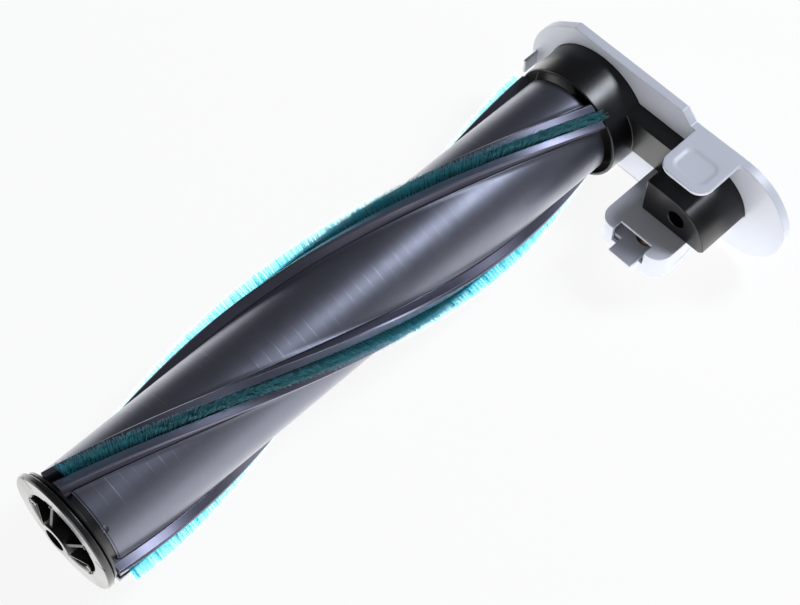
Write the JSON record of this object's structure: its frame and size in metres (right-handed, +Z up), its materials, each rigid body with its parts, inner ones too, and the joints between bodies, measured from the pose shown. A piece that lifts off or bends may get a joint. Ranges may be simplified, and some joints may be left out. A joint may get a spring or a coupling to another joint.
{
  "type": "vacuum turbo brush head",
  "caption": "Twisted brush roller for a vacuum cleaner head, spinning on the bearing of its side cover, which carries a finger tab and a spring latch.",
  "frame": {"origin": "on the roller's axis, in the front face of the drive ring", "axes": "+X along the roller's axis towards the side cover, +Z up towards the finger tab, +Y away from the latch"},
  "size_m": [0.2302, 0.1075, 0.049],
  "materials": {
    "tube_plastic": "satin, dark violet grey",
    "carrier_plastic": "smooth, dark violet grey",
    "bristle_nylon": "dense teal nylon pile",
    "cap_plastic": "satin black",
    "shroud_plastic": "glossy black",
    "cover_plastic": "light lavender grey, satin",
    "latch_plastic": "light grey",
    "bearing_steel": "ground",
    "shield_steel": "pressed sheet",
    "ball_steel": "polished",
    "cage_brass": "plain",
    "axle_steel": "turned",
    "spring_steel": "dark tempered",
    "spring_bronze": "bronze wire",
    "screw_steel": "zinc"
  },
  "bodies": {
    "cover_assembly": {"side_cover": "cover_plastic", "end_shroud": "shroud_plastic", "cover_screws": "screw_steel", "axle_pin": "axle_steel", "circlip": "spring_steel", "bearing_inner_ring": "bearing_steel", "latch_retainer": "latch_plastic", "latch_spring": "spring_bronze"},
    "roller": {"roller_tube": "tube_plastic", "strip_carrier_1": "carrier_plastic", "strip_carrier_2": "carrier_plastic", "strip_carrier_3": "carrier_plastic", "bristle_strip_1": "bristle_nylon", "bristle_strip_2": "bristle_nylon", "bristle_strip_3": "bristle_nylon", "drive_end_cap": "cap_plastic", "idler_end_cap": "cap_plastic", "bearing_outer_ring": "bearing_steel", "bearing_shield_inner": "shield_steel", "bearing_shield_outer": "shield_steel"},
    "ball_set": {"bearing_cage": "cage_brass", "bearing_balls": "ball_steel"},
    "latch": {"latch_bolt": "latch_plastic"}
  },
  "joints": [
    {"name": "roller_spin", "type": "hinge", "parent": "cover_assembly", "child": "roller", "pos_m": [0.2062, 0, 0], "axis": [1, 0, 0], "continuous": true},
    {"name": "cage_orbit", "type": "hinge", "parent": "cover_assembly", "child": "ball_set", "pos_m": [0.2062, 0, 0], "axis": [1, 0, 0], "continuous": true},
    {"name": "latch_slide", "type": "slide", "parent": "cover_assembly", "child": "latch", "axis": [0, 0, 1], "range_m": [0, 0.0025], "stiffness_N_per_m": 300, "springref_m": -0.004, "deforming": ["latch_spring"]}
  ],
  "couplings": [
    {"joint": "cage_orbit", "follows": "roller_spin", "ratio": 0.64}
  ]
}
